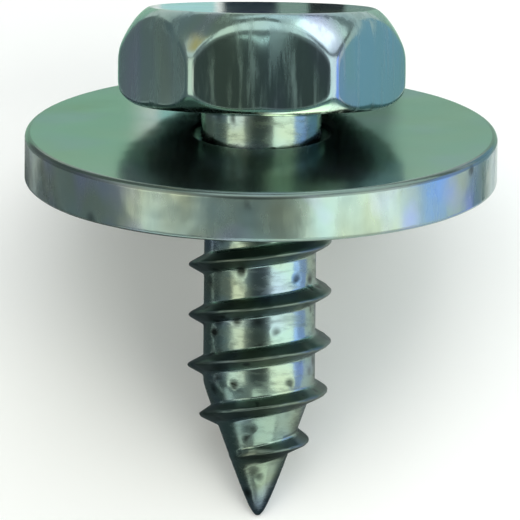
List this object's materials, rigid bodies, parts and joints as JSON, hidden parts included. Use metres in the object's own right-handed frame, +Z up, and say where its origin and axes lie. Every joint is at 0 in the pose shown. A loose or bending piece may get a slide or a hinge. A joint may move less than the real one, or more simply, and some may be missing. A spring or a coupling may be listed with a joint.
{
  "type": "hex head self-tapping screw with captive washer",
  "caption": "Hex head self-tapping screw with a coarse thread, a cone point and a loose flat washer held captive under its head.",
  "frame": {"origin": "on the surface that the screw lies on, below the middle of its box", "axes": "+Z up; +Y along the surface from the point towards the head; +X to the right, seen from the point"},
  "size_m": [0.015, 0.0156, 0.012],
  "materials": {
    "zinc_plated_screw": "bright zinc plating with a faint green-blue passivation, glossy",
    "zinc_plated_washer": "bright zinc plating with a faint green-blue passivation, glossy"
  },
  "bodies": {
    "screw": {"hex_screw": "zinc_plated_screw"},
    "washer": {"captive_washer": "zinc_plated_washer"}
  },
  "joints": [
    {"name": "washer_spin", "type": "hinge", "parent": "screw", "child": "washer", "pos_m": [0, 0.00196, 0.00602], "axis": [0, 0.7401, 0.6725], "continuous": true}
  ]
}
